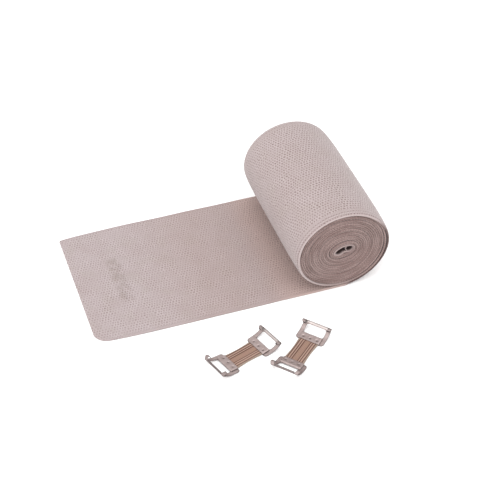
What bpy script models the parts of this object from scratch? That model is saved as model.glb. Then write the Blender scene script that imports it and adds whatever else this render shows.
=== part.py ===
"""A short-stretch bandage, partly unrolled on a table, with its two elastic clips lying beside it.

Units are metres, +Z is up. The origin lies on the table under the roll's axis, at the middle of
the web's width. The free end of the web points along -X and its near edge faces -Y.
"""

import math
from typing import NamedTuple

import bmesh
import bpy
import numpy as np
from mathutils import Matrix, Vector

MM = 0.001


class FoldPoint(NamedTuple):
    """A point of the web's inner end, as shares of the core's half width and half height."""

    across: float
    up: float


class ClipPlace(NamedTuple):
    """Where a clip lies: along the web, ahead of its near edge, turned, and how far its plates curl up."""

    name: str
    along: float
    ahead: float
    angle: float
    left_bend: float
    right_bend: float


# Web: a long woven band, partly unrolled: a flat length, and the turns that are still wound up
WEB_WIDTH = 100.4 * MM
WEB_THICKNESS = 1.0 * MM
TURN_GAP = 0.3 * MM
TURNS = 19.25
TAIL_LENGTH = 155.1 * MM
FLAT_END = 1.5 * MM
LIFT_OFF = 3.0 * MM
NEAR_CORNER_RADIUS = 8.0 * MM
FAR_CORNER_RADIUS = 1.2 * MM
END_DRAW_IN = 1.6 * MM
END_DRAW_LENGTH = 40.0 * MM
END_DRAW_STEPS = 4

# Core: the squashed hollow that the first turn is wound around
CORE_HALF_WIDTH = 5.6 * MM
CORE_HALF_HEIGHT = 4.0 * MM
CORE_DENT = 2.0 * MM
CORE_DENT_ANGLE = 10.0
CORE_DENT_SPREAD = 42.0
CORE_DENT_TURNS = 1.6

# Last wrap: it stands a little off the roll at its lower right
LOOSE_STEP = 0.9 * MM
LOOSE_ANGLE = 72.0
LOOSE_SPREAD = 70.0
LOOSE_TURNS = 1.0

# Facets of the web
STEPS_PER_TURN = 36
CORNER_STEPS = 4
INNER_END_STEPS = 4

# The web's inner end, folded down across the hollow
INNER_END = (
    FoldPoint(across=0.93, up=0.38),
    FoldPoint(across=0.66, up=0.74),
    FoldPoint(across=0.34, up=0.80),
    FoldPoint(across=0.07, up=0.58),
    FoldPoint(across=0.00, up=0.16),
    FoldPoint(across=0.06, up=-0.10),
)

# Clips: an elastic strip crimped between two stamped plates
CLIP_ELASTIC_RUN = 18.2 * MM
CLIP_TILT = 7.0
CLIP_CLEARANCE = 0.3 * MM

# Plate: a frame with a window, whose tongue folds back over the elastic and whose arms curl up
PLATE_WIDTH = 18.2 * MM
PLATE_DEPTH = 13.4 * MM
PLATE_SHEET = 0.5 * MM
PLATE_INNER_RADIUS = 1.8 * MM
PLATE_OUTER_RADIUS = 0.7 * MM
CRIMP_DEPTH = 5.2 * MM
CRIMP_SIDE = 2.3 * MM
BAR_DEPTH = 1.9 * MM
ARM_WIDTH = 2.6 * MM
WINDOW_RADIUS = 1.5 * MM
LIP_HEIGHT = 1.7 * MM
JOIN_STEP = 0.1 * MM
EDGE_STEP = 0.05 * MM
ARC_STEPS = 4
FOLD_STEPS = 7
BEND_STEPS = 4

# Dents that bite the tongue into the elastic
DENT_COUNT = 3
DENT_PITCH = 4.4 * MM
DENT_RADIUS = 0.6 * MM
DENT_DEPTH = 0.25 * MM
DENT_FLOOR_SHARE = 0.4
DENT_SIDES = 8

# Claws at the two ends of the outer bar
CLAW_WIDTH = 1.3 * MM
CLAW_TIP_SHARE = 0.35
CLAW_STEM = 1.8 * MM
CLAW_RADIUS = 1.3 * MM
CLAW_TURN = 145.0
CLAW_STEPS = 6

# Elastic: a ribbed strip, pressed thinner inside the crimps
ELASTIC_SIDE = 0.4 * MM
ELASTIC_THICKNESS = 1.1 * MM
ELASTIC_PRESSED = 0.7 * MM
ELASTIC_WAIST = 0.3 * MM
ELASTIC_CHAMFER_SHARE = 0.25
ELASTIC_STEPS = 10
PRESS_POWER = 8
GROOVE_DEPTH = 0.22 * MM
GROOVE_HALF_WIDTH = 0.28 * MM

# Grooves between the cords of the elastic, as shares of its half width
GROOVE_SHARES = (-0.76, -0.51, -0.30, 0.30, 0.51, 0.76)

# The two clips, taken off and lying in front of the web
CLIPS = (
    ClipPlace("clip_a", along=-76.4 * MM, ahead=36.6 * MM, angle=18.8, left_bend=26.0, right_bend=32.0),
    ClipPlace("clip_b", along=-43.2 * MM, ahead=44.6 * MM, angle=41.3, left_bend=30.0, right_bend=34.0),
)

# Colours as red, green, blue
WEB_COLOUR = (0.53, 0.44, 0.43)
METAL_COLOUR = (0.66, 0.58, 0.56)
ELASTIC_COLOUR = (0.36, 0.22, 0.16)


def clear_scene():
    """Remove every object of the scene that the script starts in."""
    for found in list(bpy.data.objects):
        bpy.data.objects.remove(found, do_unlink=True)


def new_collection(name):
    """Return a new collection linked to the scene."""
    made = bpy.data.collections.new(name)
    bpy.context.scene.collection.children.link(made)
    return made


def new_material(name, colour, roughness, metallic):
    """Return a Principled BSDF material."""
    made = bpy.data.materials.new(name)
    made.use_nodes = True
    shader = made.node_tree.nodes["Principled BSDF"]
    shader.inputs["Base Color"].default_value = (*colour, 1.0)
    shader.inputs["Roughness"].default_value = roughness
    shader.inputs["Metallic"].default_value = metallic
    return made


def new_object(name, mesh, collection):
    """Return a new object of a mesh, linked to a collection."""
    made = bpy.data.objects.new(name, mesh)
    collection.objects.link(made)
    return made


def mark_as_guide(guide):
    """Keep an object as a helper that is neither rendered nor part of the model."""
    guide.hide_render = True
    guide.display_type = "WIRE"


def evaluated_mesh(source, name):
    """Return the mesh that an object has after its modifiers or its curve settings."""
    bpy.context.view_layer.update()
    evaluated = source.evaluated_get(bpy.context.evaluated_depsgraph_get())
    mesh = bpy.data.meshes.new_from_object(evaluated)
    mesh.name = name
    return mesh


def shade_round(mesh, angle=35.0):
    """Shade a mesh smooth, with edges sharper than an angle kept crisp."""
    mesh.shade_smooth()
    mesh.set_sharp_from_angle(angle=math.radians(angle))


def hump(degrees, centre, spread):
    """Return 1 at an angle round the roll, falling smoothly to 0 at a spread on each side of it."""
    off = (degrees - centre + 180.0) % 360.0 - 180.0
    inside = np.abs(off) < spread
    return np.where(inside, 0.5 + 0.5 * np.cos(math.pi * off / spread), 0.0)


def ribbon(name, path, near, far, thickness, offset, collection):
    """Return a bent strip: a path in X and Z swept across Y and given a wall thickness.

    The path is an array of (x, z) rows. near and far hold the strip's two edges in Y, one value
    for each row of the path. The wall grows from the path by Solidify's offset.
    """
    bm = bmesh.new()
    station = bm.verts.layers.int.new("station")
    row = []
    for index, (x, z) in enumerate(path):
        vertex = bm.verts.new((x, near[index], z))
        vertex[station] = index
        row.append(vertex)
    edges = [bm.edges.new(pair) for pair in zip(row, row[1:])]
    swept = bmesh.ops.extrude_edge_only(bm, edges=edges)["geom"]
    for item in swept:
        if isinstance(item, bmesh.types.BMVert):
            item.co.y = far[item[station]]
    mesh = bpy.data.meshes.new(name)
    bm.to_mesh(mesh)
    bm.free()
    made = new_object(name, mesh, collection)
    wall = made.modifiers.new("wall", "SOLIDIFY")
    wall.thickness = thickness
    wall.offset = offset
    return made


def smooth_path(points, steps):
    """Return a Catmull-Rom curve through points, without the first and last of them."""
    curve = []
    for before, start, end, after in zip(points, points[1:], points[2:], points[3:]):
        for step in range(1, steps + 1):
            t = step / steps
            along = (end - before) * t
            bend = (2 * before - 5 * start + 4 * end - after) * t**2
            twist = (3 * start - before - 3 * end + after) * t**3
            curve.append(0.5 * (2 * start + along + bend + twist))
    return np.array(curve)


def winding(turn):
    """Return the outer face of the wound web, as (x, z) rows, for turns counted from the table.

    The radii shrink by one pitch in each turn. The first turns around the core follow its dented
    underside, and the last wrap stands off the roll a little.
    """
    pitch = WEB_THICKNESS + TURN_GAP
    turns_left = TURNS - turn
    degrees = 360.0 * turn
    loose = LOOSE_STEP * hump(degrees, LOOSE_ANGLE, LOOSE_SPREAD) * np.exp(-turn / LOOSE_TURNS)
    dent = CORE_DENT * hump(degrees, CORE_DENT_ANGLE, CORE_DENT_SPREAD)
    dent = dent * np.exp(-turns_left / CORE_DENT_TURNS)
    growth = pitch * turns_left + loose - dent
    axis_height = CORE_HALF_HEIGHT + pitch * TURNS
    x = (CORE_HALF_WIDTH + growth) * np.sin(np.radians(degrees))
    z = axis_height - (CORE_HALF_HEIGHT + growth) * np.cos(np.radians(degrees))
    return np.column_stack((x, z))


def inner_end(wound):
    """Return the last stretch of the web, which curls down across the hollow of the core."""
    pitch = WEB_THICKNESS + TURN_GAP
    core = np.array((0.0, CORE_HALF_HEIGHT + pitch * TURNS))
    reach = np.array((CORE_HALF_WIDTH, CORE_HALF_HEIGHT))
    chosen = [core + reach * np.array(row) for row in INNER_END]
    past = 2 * chosen[-1] - chosen[-2]
    return smooth_path([wound[-2], wound[-1], *chosen, past], INNER_END_STEPS)


def end_distances():
    """Return distances from the free end at which the flat length needs a row of its own."""
    found = {END_DRAW_LENGTH * step / END_DRAW_STEPS for step in range(END_DRAW_STEPS + 1)}
    for radius in (NEAR_CORNER_RADIUS, FAR_CORNER_RADIUS):
        for step in range(1, CORNER_STEPS + 1):
            found.add(radius * (1.0 - math.cos(0.5 * math.pi * step / CORNER_STEPS)))
    return np.array(sorted(found))


def edge_inset(distance, radius):
    """Return how far an edge stands in from the straight one at a distance from the free end."""
    drawn = END_DRAW_IN * np.clip(1.0 - distance / END_DRAW_LENGTH, 0.0, 1.0) ** 2
    short = np.clip(radius - distance, 0.0, radius)
    return drawn + radius - np.sqrt(radius**2 - short**2)


def build_flat_length(collection, material):
    """Build the unrolled length, from the free end to just past the line that the roll rests on."""
    x = np.append(end_distances() - TAIL_LENGTH, FLAT_END)
    path = np.column_stack((x, np.zeros(len(x))))
    near = -0.5 * WEB_WIDTH + edge_inset(x + TAIL_LENGTH, NEAR_CORNER_RADIUS)
    far = 0.5 * WEB_WIDTH - edge_inset(x + TAIL_LENGTH, FAR_CORNER_RADIUS)
    made = ribbon("web_flat_length", path, near, far, WEB_THICKNESS, -1.0, collection)
    made.data.materials.append(material)


def build_wound_turns(collection, material):
    """Build the roll: it carries on from the flat length, and ends in the fold inside its core."""
    turn = np.arange(1, int(TURNS * STEPS_PER_TURN) + 1) / STEPS_PER_TURN
    wound = winding(turn)
    rest = np.array(((FLAT_END + TURN_GAP, 0.0), (LIFT_OFF, 0.0)))
    path = np.concatenate((rest, wound, inner_end(wound)))
    half = np.full(len(path), 0.5 * WEB_WIDTH)
    made = ribbon("web_wound_turns", path, -half, half, WEB_THICKNESS, -1.0, collection)
    made.data.materials.append(material)
    shade_round(made.data)


def rounded_rectangle(low, high, half_width, low_radius, high_radius):
    """Return the outline of a rectangle from low to high in X, with its own radius at each end."""
    corners = (
        (low + low_radius, half_width - low_radius, low_radius, 90.0),
        (low + low_radius, low_radius - half_width, low_radius, 180.0),
        (high - high_radius, high_radius - half_width, high_radius, 270.0),
        (high - high_radius, half_width - high_radius, high_radius, 0.0),
    )
    outline = []
    for x, y, radius, start in corners:
        for step in range(ARC_STEPS + 1):
            angle = math.radians(start + 90.0 * step / ARC_STEPS)
            outline.append((x + radius * math.cos(angle), y + radius * math.sin(angle)))
    return outline


def stamped_sheet(name, outlines, collection):
    """Return a flat sheet of the plate's metal with its underside at Z = 0, welded into one mesh."""
    curve = bpy.data.curves.new(name, "CURVE")
    curve.dimensions = "2D"
    curve.fill_mode = "BOTH"
    curve.extrude = 0.5 * PLATE_SHEET
    for outline in outlines:
        spline = curve.splines.new("POLY")
        spline.points.add(len(outline) - 1)
        for point, (x, y) in zip(spline.points, outline):
            point.co = (x, y, 0.0, 1.0)
        spline.use_cyclic_u = True
    drawn = new_object(name, curve, collection)
    mesh = evaluated_mesh(drawn, name)
    bpy.data.objects.remove(drawn, do_unlink=True)
    bm = bmesh.new()
    bm.from_mesh(mesh)
    bmesh.ops.remove_doubles(bm, verts=bm.verts, dist=1e-6)
    bmesh.ops.translate(bm, verts=bm.verts, vec=(0.0, 0.0, 0.5 * PLATE_SHEET))
    bm.to_mesh(mesh)
    bm.free()
    return new_object(name, mesh, collection)


def arc_path(centre, radius, start, turn, steps):
    """Return points of an arc in X and Z, by its start angle and its turn in degrees."""
    angles = np.radians(start + turn * np.arange(steps + 1) / steps)
    return np.column_stack((centre[0] + radius * np.cos(angles), centre[1] + radius * np.sin(angles)))


def crimp_height():
    """Return the outside height of the crimp: two sheets, the pressed elastic and its clearances."""
    return 2.0 * PLATE_SHEET + ELASTIC_PRESSED + 2.0 * CLIP_CLEARANCE


def crimp_width():
    """Return the width of the tongue that makes the crimp."""
    return PLATE_WIDTH - 2.0 * CRIMP_SIDE


def fold_heights():
    """Return the lowest and highest height of the middle of the tongue's sheet."""
    return 0.5 * PLATE_SHEET + JOIN_STEP, crimp_height() - 0.5 * PLATE_SHEET


def fold_centre_x():
    """Return how far the middle of the tongue's bend lies from the plate's inner edge."""
    low, high = fold_heights()
    return CRIMP_DEPTH - EDGE_STEP - 0.5 * PLATE_SHEET - 0.5 * (high - low)


def fold_tongue(collection):
    """Return the tongue that rises at the window and folds back over the elastic."""
    low, high = fold_heights()
    centre = (fold_centre_x(), 0.5 * (high + low))
    bend = arc_path(centre, 0.5 * (high - low), -90.0, 180.0, FOLD_STEPS)
    foot = np.array(((centre[0] - PLATE_SHEET, low),))
    lip = np.array(((EDGE_STEP, high),))
    path = np.concatenate((foot, bend, lip))
    half = np.full(len(path), 0.5 * crimp_width())
    return ribbon("tongue", path, -half, half, PLATE_SHEET, 0.0, collection)


def raise_lip(collection):
    """Return the upright lip along the outer bar."""
    x = PLATE_DEPTH - EDGE_STEP - 0.5 * PLATE_SHEET
    path = np.array(((x, JOIN_STEP), (x, LIP_HEIGHT)))
    half = np.full(len(path), 0.5 * PLATE_WIDTH - CLAW_WIDTH)
    return ribbon("lip", path, -half, half, PLATE_SHEET, 0.0, collection)


def bend_claw(side, collection):
    """Return the claw at one end of the outer bar: a stem that curls inwards to a narrow tip."""
    x = PLATE_DEPTH - 2.0 * EDGE_STEP - 0.5 * PLATE_SHEET
    centre = (x - CLAW_RADIUS, CLAW_STEM)
    curl = arc_path(centre, CLAW_RADIUS, 0.0, CLAW_TURN, CLAW_STEPS)
    path = np.concatenate((np.array(((x, 2.0 * JOIN_STEP),)), curl))
    shares = np.linspace(1.0, CLAW_TIP_SHARE, CLAW_STEPS + 1)
    half = 0.5 * CLAW_WIDTH * np.concatenate(((1.0,), shares))
    middle = side * (0.5 * PLATE_WIDTH - 0.5 * CLAW_WIDTH - EDGE_STEP)
    return ribbon("claw", path, middle - half, middle + half, PLATE_SHEET, 0.0, collection)


def dent_cutter(collection):
    """Return the punches for the dents in the tongue's top, as one mesh of separate cones."""
    bm = bmesh.new()
    top = crimp_height()
    centre_x = 0.5 * CRIMP_DEPTH - 0.5 * PLATE_SHEET
    for index in range(DENT_COUNT):
        y = DENT_PITCH * (index - 0.5 * (DENT_COUNT - 1))
        place = Matrix.Translation((centre_x, y, top))
        bmesh.ops.create_cone(
            bm,
            cap_ends=True,
            segments=DENT_SIDES,
            radius1=DENT_FLOOR_SHARE * DENT_RADIUS,
            radius2=(2.0 - DENT_FLOOR_SHARE) * DENT_RADIUS,
            depth=2.0 * DENT_DEPTH,
            matrix=place,
        )
    mesh = bpy.data.meshes.new("dents")
    bm.to_mesh(mesh)
    bm.free()
    return new_object("dents", mesh, collection)


def curl_arms(mesh, turn):
    """Bend a plate's arms upwards between the crimp and the outer bar, by a turn in degrees.

    Each point keeps its distance from the sheet's middle surface, which becomes an arc over the
    length of the window and runs on straight under the bar.
    """
    start = CRIMP_DEPTH + EDGE_STEP
    run = PLATE_DEPTH - BAR_DEPTH - start
    radius = run / math.radians(turn)
    bm = bmesh.new()
    bm.from_mesh(mesh)
    for step in range(BEND_STEPS + 1):
        everything = [*bm.verts, *bm.edges, *bm.faces]
        cut = (start + run * step / BEND_STEPS, 0.0, 0.0)
        bmesh.ops.bisect_plane(bm, geom=everything, dist=1e-7, plane_co=cut, plane_no=(1.0, 0.0, 0.0))
    for vertex in bm.verts:
        past = vertex.co.x - start
        if past <= 0.0:
            continue
        angle = min(past, run) / radius
        straight = max(past - run, 0.0)
        height = vertex.co.z - 0.5 * PLATE_SHEET
        x = start + (radius - height) * math.sin(angle) + straight * math.cos(angle)
        z = 0.5 * PLATE_SHEET + radius - (radius - height) * math.cos(angle) + straight * math.sin(angle)
        vertex.co = (x, vertex.co.y, z)
    bmesh.ops.triangulate(bm, faces=bm.faces)
    bm.to_mesh(mesh)
    bm.free()


def plate_mesh(guides, material, turn):
    """Return the mesh of one plate: inner edge at X = 0, outer bar at +X, underside at Z = 0."""
    frame = rounded_rectangle(
        0.0, PLATE_DEPTH, 0.5 * PLATE_WIDTH, PLATE_INNER_RADIUS, PLATE_OUTER_RADIUS
    )
    window = rounded_rectangle(
        CRIMP_DEPTH,
        PLATE_DEPTH - BAR_DEPTH,
        0.5 * PLATE_WIDTH - ARM_WIDTH,
        WINDOW_RADIUS,
        WINDOW_RADIUS,
    )
    plate = stamped_sheet("plate", (frame, window), guides)
    joined = [fold_tongue(guides), raise_lip(guides), bend_claw(-1, guides), bend_claw(1, guides)]
    for helper in joined:
        union = plate.modifiers.new(helper.name, "BOOLEAN")
        union.operation = "UNION"
        union.object = helper
        mark_as_guide(helper)
    punches = dent_cutter(guides)
    cut = plate.modifiers.new("dents", "BOOLEAN")
    cut.operation = "DIFFERENCE"
    cut.object = punches
    mark_as_guide(punches)
    mark_as_guide(plate)
    mesh = evaluated_mesh(plate, "clip_plate")
    curl_arms(mesh, turn)
    mesh.materials.clear()
    mesh.materials.append(material)
    shade_round(mesh)
    return mesh


def elastic_section(half_width, thickness, groove_depth):
    """Return one ring of the elastic in Y and Z: a grooved top from -Y to +Y, then a flat underside."""
    edge = ELASTIC_CHAMFER_SHARE * thickness
    top = [(-half_width, -edge), (-half_width, edge), (-half_width + edge, 0.5 * thickness)]
    for share in GROOVE_SHARES:
        y = share * half_width
        top.append((y - GROOVE_HALF_WIDTH, 0.5 * thickness))
        top.append((y, 0.5 * thickness - groove_depth))
        top.append((y + GROOVE_HALF_WIDTH, 0.5 * thickness))
    top += [(half_width - edge, 0.5 * thickness), (half_width, edge), (half_width, -edge)]
    under = [(half_width - edge, -0.5 * thickness), (-half_width + edge, -0.5 * thickness)]
    return top + under


def elastic_stations():
    """Return the places along the elastic as (x, z, slope, thickness, groove depth, half width)."""
    tilt = math.radians(CLIP_TILT)
    half_run = 0.5 * CLIP_ELASTIC_RUN
    bow = half_run / math.sin(tilt)
    middle = PLATE_SHEET + CLIP_CLEARANCE + 0.5 * ELASTIC_PRESSED
    end_x = half_run - middle * math.sin(tilt)
    end_z = middle * math.cos(tilt)
    full_half_width = 0.5 * crimp_width() - ELASTIC_SIDE
    stations = []
    for index in range(ELASTIC_STEPS + 1):
        share = 2.0 * index / ELASTIC_STEPS - 1.0
        slope = tilt * share
        x = end_x * math.sin(slope) / math.sin(tilt)
        z = end_z - bow * (math.cos(slope) - math.cos(tilt))
        full = 1.0 - share**PRESS_POWER
        thickness = ELASTIC_PRESSED + (ELASTIC_THICKNESS - ELASTIC_PRESSED) * full
        half_width = full_half_width - ELASTIC_WAIST * (1.0 - share**2)
        stations.append((x, z, slope, thickness, GROOVE_DEPTH * full, half_width))
    grip = fold_centre_x() - CLIP_CLEARANCE
    gripped = (
        end_x + grip * math.cos(tilt),
        end_z + grip * math.sin(tilt),
        tilt,
        ELASTIC_PRESSED,
        0.0,
        full_half_width,
    )
    mirrored = (-gripped[0], gripped[1], -tilt, *gripped[3:])
    return [mirrored, *stations, gripped]


def elastic_mesh(material):
    """Return the mesh of the elastic, lofted through its stations and closed at both ends."""
    bm = bmesh.new()
    rings = []
    for x, z, slope, thickness, groove_depth, half_width in elastic_stations():
        along = Matrix.Translation((x, 0.0, z)) @ Matrix.Rotation(-slope, 4, "Y")
        ring = []
        for y, height in elastic_section(half_width, thickness, groove_depth):
            ring.append(bm.verts.new(along @ Vector((0.0, y, height))))
        rings.append(ring)
    for ring, following in zip(rings, rings[1:]):
        for index in range(len(ring)):
            after = (index + 1) % len(ring)
            bm.faces.new((ring[index], ring[after], following[after], following[index]))
    bm.faces.new(rings[0])
    bm.faces.new(reversed(rings[-1]))
    bmesh.ops.recalc_face_normals(bm, faces=bm.faces)
    mesh = bpy.data.meshes.new("clip_elastic")
    bm.to_mesh(mesh)
    bm.free()
    mesh.materials.append(material)
    shade_round(mesh)
    return mesh


def build_clip(place, elastic, guides, metal, collection):
    """Place one clip: its elastic strip and a plate at each end, all carried by an empty."""
    carrier = new_object(place.name, None, collection)
    carrier.location = (place.along, -0.5 * WEB_WIDTH - place.ahead, 0.0)
    carrier.rotation_euler = (0.0, 0.0, math.radians(place.angle))
    strip = new_object(place.name + "_elastic", elastic, collection)
    strip.parent = carrier
    tilt = Matrix.Rotation(-math.radians(CLIP_TILT), 4, "Y")
    outwards = Matrix.Translation((0.5 * CLIP_ELASTIC_RUN, 0.0, 0.0)) @ tilt
    ends = (("right", 0.0, place.right_bend), ("left", math.pi, place.left_bend))
    for side, turned, bend in ends:
        made = new_object(f"{place.name}_{side}_plate", plate_mesh(guides, metal, bend), collection)
        made.parent = carrier
        made.matrix_local = Matrix.Rotation(turned, 4, "Z") @ outwards


def main():
    """Build the whole bandage."""
    clear_scene()
    parts = new_collection("short_stretch_bandage")
    guides = new_collection("cutters")
    cloth = new_material("web_cloth", WEB_COLOUR, 0.9, 0.0)
    metal = new_material("clip_metal", METAL_COLOUR, 0.4, 1.0)
    rubber = new_material("clip_elastic", ELASTIC_COLOUR, 0.8, 0.0)
    build_flat_length(parts, cloth)
    build_wound_turns(parts, cloth)
    elastic = elastic_mesh(rubber)
    for place in CLIPS:
        build_clip(place, elastic, guides, metal, parts)


main()
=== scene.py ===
"""Looks of a short-stretch bandage: its woven web, its two elastic clips and a plain pale studio.

Lengths are in metres, +Z is up. The web's free end points along -X, its near edge faces -Y, and
the surface that everything lies on is Z = 0.
"""

import logging
import math
from dataclasses import dataclass, field
from enum import Enum
from typing import NamedTuple

import bpy
import numpy as np
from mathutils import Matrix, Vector


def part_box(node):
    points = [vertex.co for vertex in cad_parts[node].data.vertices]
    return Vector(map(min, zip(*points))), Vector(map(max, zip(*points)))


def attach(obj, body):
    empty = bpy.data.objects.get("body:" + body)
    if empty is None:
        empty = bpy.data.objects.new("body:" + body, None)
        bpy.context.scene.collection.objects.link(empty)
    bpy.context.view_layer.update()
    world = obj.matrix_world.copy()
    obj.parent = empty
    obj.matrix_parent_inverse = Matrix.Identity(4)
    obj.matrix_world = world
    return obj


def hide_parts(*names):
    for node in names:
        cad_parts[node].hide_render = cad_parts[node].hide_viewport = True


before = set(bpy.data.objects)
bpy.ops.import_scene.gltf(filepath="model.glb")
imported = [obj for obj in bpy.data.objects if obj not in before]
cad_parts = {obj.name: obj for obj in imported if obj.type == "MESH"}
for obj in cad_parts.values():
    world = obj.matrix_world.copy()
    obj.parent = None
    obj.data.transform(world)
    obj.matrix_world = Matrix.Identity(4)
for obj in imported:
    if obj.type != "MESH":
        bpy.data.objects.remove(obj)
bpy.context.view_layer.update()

MM = 0.001
WEAVE_UV = "weave"
# Marks the turns whose edges take the end face's painted shade
INNER_MARK = "inner"
# Painted shade deep in the core and along the first rise's edges
PAINTED_SHADE_MARK = "depth"
# Painted light on the steel: below a half painted shade, above it a painted highlight
PAINTED_LIGHT_MARK = "painted_light"
LOG = logging.getLogger("bandage")

Colour = tuple[float, float, float]
Point = tuple[float, float, float]
Span = tuple[float, float]
Tone = Colour | bpy.types.NodeSocket


class ClipEnd(Enum):
    """The two ends of a clip, each with the direction in which its plate points."""

    RIGHT = 1.0
    LEFT = -1.0


class Surface(NamedTuple):
    """A closed surface: points, faces of four corners, and a pattern place and marks for each point."""

    points: np.ndarray
    quads: np.ndarray
    places: np.ndarray
    marks: dict[str, np.ndarray]


class LooseWrap(NamedTuple):
    """A gap inside one wrap of the roll: after how many turns it opens, and how wide it is."""

    turn: float
    gap: float


class FoldPoint(NamedTuple):
    """A point of the web's inner end, as shares of the core's half width and half height."""

    across: float
    up: float


class Cord(NamedTuple):
    """One rib of the clip's elastic: its middle and half width as shares, and its rise."""

    middle: float
    half_width: float
    rise: float


class Ramp(NamedTuple):
    """A smooth rise from 0: where it starts, where it ends, and how high it gets."""

    low: float
    high: float
    top: float = 1.0


class Patches(NamedTuple):
    """Soft noise: the size of its patches, its finer layers, and how far they are drawn out.

    It follows the piece's own map, or else space. Its ramp turns it into clear patches.
    """

    pitch: float
    layers: float = 2.0
    stretch: tuple[float, float, float] = (1.0, 1.0, 1.0)
    mapped: bool = True
    ramp: Ramp = Ramp(0.0, 1.0)


def quad_faces(index: np.ndarray) -> np.ndarray:
    """Join neighbouring entries of a grid of point numbers into faces of four corners."""
    corners = (index[:-1, :-1], index[1:, :-1], index[1:, 1:], index[:-1, 1:])
    return np.stack(corners, axis=-1).reshape(-1, 4)


def rounded_edge(distance: np.ndarray, radius: float) -> np.ndarray:
    """Give the share of full thickness at a distance from an edge, rounded as a quarter circle."""
    short = 1.0 - np.clip(distance / radius, 0.0, 1.0)
    return np.sqrt(1.0 - short**2)


def smooth_step(value: np.ndarray, low: float, high: float) -> np.ndarray:
    """Ease from 0 at low to 1 at high by t squared times (3 - 2 t)."""
    t = np.clip((value - low) / (high - low), 0.0, 1.0)
    return t * t * (3.0 - 2.0 * t)


def hump(degrees: np.ndarray, centre: float, spread: float) -> np.ndarray:
    """Give a cosine hump round the roll, 1 at its centre and 0 beyond its spread on either side."""
    off = (degrees - centre + 180.0) % 360.0 - 180.0
    return np.where(np.abs(off) < spread, 0.5 + 0.5 * np.cos(math.pi * off / spread), 0.0)


def run_along(path: np.ndarray) -> np.ndarray:
    """Give the length from a path's start to each of its points."""
    return np.concatenate(((0.0,), np.cumsum(np.linalg.norm(np.diff(path, axis=0), axis=1))))


def closed_sheet(
    middle: np.ndarray, half: np.ndarray, places: np.ndarray, marks: dict[str, np.ndarray]
) -> Surface:
    """Give a wall to a surface: its points move out by half the wall along the normal, both ways.

    The normal is the cross product of the steps along the rows and along the columns. The two
    sides share the points of the grid's border, so the wall is closed and has no seam.

    Args:
        middle: Points of the middle surface, by row and column.
        half: Half the wall's thickness at each point, unused on the border.
        places: Pattern place of each point.
        marks: Marks of each point.

    Returns:
        The closed wall, the points on the normal's side and on the border first.
    """
    normal = np.cross(np.gradient(middle, axis=0), np.gradient(middle, axis=1))
    normal /= np.maximum(np.linalg.norm(normal, axis=-1, keepdims=True), 1e-12)
    rows, columns = half.shape
    inner = (slice(1, -1), slice(1, -1))
    thick = np.zeros_like(half)
    thick[inner] = half[inner]
    upper = middle + normal * thick[..., None]
    lower = (middle - normal * thick[..., None])[inner]
    above = np.arange(rows * columns).reshape(rows, columns)
    below = above.copy()
    below[inner] = rows * columns + np.arange(lower.shape[0] * lower.shape[1]).reshape(lower.shape[:2])
    return Surface(
        np.concatenate((upper.reshape(-1, 3), lower.reshape(-1, 3))),
        np.concatenate((quad_faces(above), quad_faces(below)[:, ::-1])),
        np.concatenate((places.reshape(-1, 2), places[inner].reshape(-1, 2))),
        {key: np.concatenate((grid.reshape(-1), grid[inner].reshape(-1))) for key, grid in marks.items()},
    )


def closed_ring(points: np.ndarray, marks: dict[str, np.ndarray]) -> Surface:
    """Close a grid of points on itself along both its rows and its columns.

    Args:
        points: Points by row and column, each row and each column a loop.
        marks: Marks of each point.

    Returns:
        The closed ring, with its X and Y as pattern places.
    """
    index = np.arange(points.shape[0] * points.shape[1]).reshape(points.shape[:2])
    index = np.pad(index, ((0, 1), (0, 1)), mode="wrap")
    flat = points.reshape(-1, 3)
    kept = {key: grid.reshape(-1) for key, grid in marks.items()}
    return Surface(flat, quad_faces(index), flat[:, :2].copy(), kept)


def joined(surfaces: list[Surface]) -> Surface:
    """Put closed surfaces together as one."""
    starts = np.cumsum([0] + [len(one.points) for one in surfaces[:-1]])
    return Surface(
        np.concatenate([one.points for one in surfaces]),
        np.concatenate([one.quads + start for one, start in zip(surfaces, starts)]),
        np.concatenate([one.places for one in surfaces]),
        {key: np.concatenate([one.marks[key] for one in surfaces]) for key in surfaces[0].marks},
    )


def make_piece(name: str, surface: Surface, material: bpy.types.Material) -> bpy.types.Object:
    """Put a surface into a smooth-shaded mesh object at the origin.

    Args:
        name: Name of the piece.
        surface: Its closed surface.
        material: Its material.

    Returns:
        The new object.
    """
    mesh = bpy.data.meshes.new(name)
    mesh.vertices.add(len(surface.points))
    mesh.vertices.foreach_set("co", surface.points.astype(np.float32).ravel())
    mesh.loops.add(surface.quads.size)
    mesh.loops.foreach_set("vertex_index", surface.quads.astype(np.int32).ravel())
    mesh.polygons.add(len(surface.quads))
    mesh.polygons.foreach_set("loop_start", np.arange(len(surface.quads), dtype=np.int32) * 4)
    mesh.update(calc_edges=True)
    layer = mesh.uv_layers.new(name=WEAVE_UV)
    layer.data.foreach_set("uv", surface.places[surface.quads.ravel()].astype(np.float32).ravel())
    for key, values in surface.marks.items():
        stored = mesh.attributes.new(key, "FLOAT", "POINT")
        stored.data.foreach_set("value", values.astype(np.float32))
    mesh.shade_smooth()
    mesh.materials.append(material)
    piece = bpy.data.objects.new(name, mesh)
    bpy.context.scene.collection.objects.link(piece)
    return piece


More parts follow.
